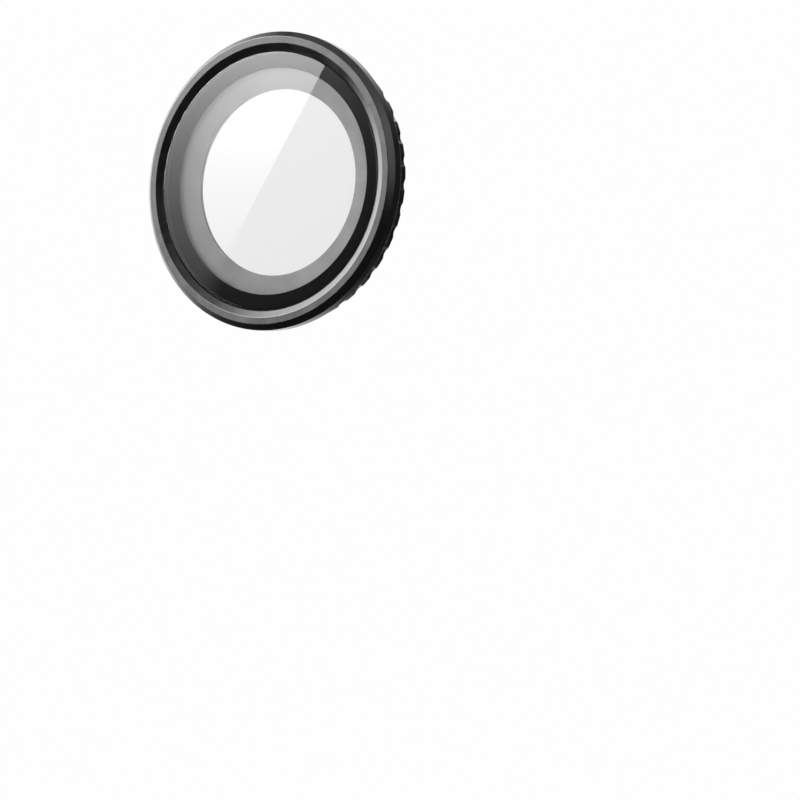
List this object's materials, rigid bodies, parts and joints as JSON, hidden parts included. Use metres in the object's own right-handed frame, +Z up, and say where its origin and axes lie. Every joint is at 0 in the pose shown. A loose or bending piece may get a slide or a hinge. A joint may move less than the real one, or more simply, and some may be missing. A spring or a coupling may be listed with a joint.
{
  "type": "lens guard",
  "caption": "Screw-on round lens guard: a flat cover glass in a bevelled black metal rim, with a fluted lock ring behind it that turns freely and carries the inner mounting thread.",
  "frame": {"origin": "on the optical axis, in the plane of the gasket's face, where the end of the camera's round lens mount comes to rest", "axes": "+Y along the optical axis towards the camera, so the glass faces -Y; +Z up; the object is round about Y"},
  "size_m": [0.02, 0.0039, 0.02],
  "materials": {
    "black_anodised": "satin black anodised, fine turning marks",
    "grey_anodised": "matt light grey anodised",
    "cover_glass": "polished flat, ground edge",
    "border_ink": "matt black printed ink",
    "adhesive_tape": "matt foam tape",
    "sealant": "cured black sealant",
    "washer_plastic": "waxy low-friction plastic",
    "gasket_rubber": "matt moulded rubber"
  },
  "bodies": {
    "cell": {"bezel": "black_anodised", "cover_glass": "cover_glass", "printed_border": "border_ink", "glass_tape": "adhesive_tape", "edge_bead": "sealant", "trim_ring": "grey_anodised", "neck_tube": "black_anodised", "slip_washer": "washer_plastic", "seat_gasket": "gasket_rubber"},
    "lock_ring": {"lock_ring": "black_anodised"}
  },
  "joints": [
    {"name": "lock_ring_turn", "type": "hinge", "parent": "cell", "child": "lock_ring", "pos_m": [0, 0, 0], "axis": [0, 1, 0], "continuous": true}
  ]
}
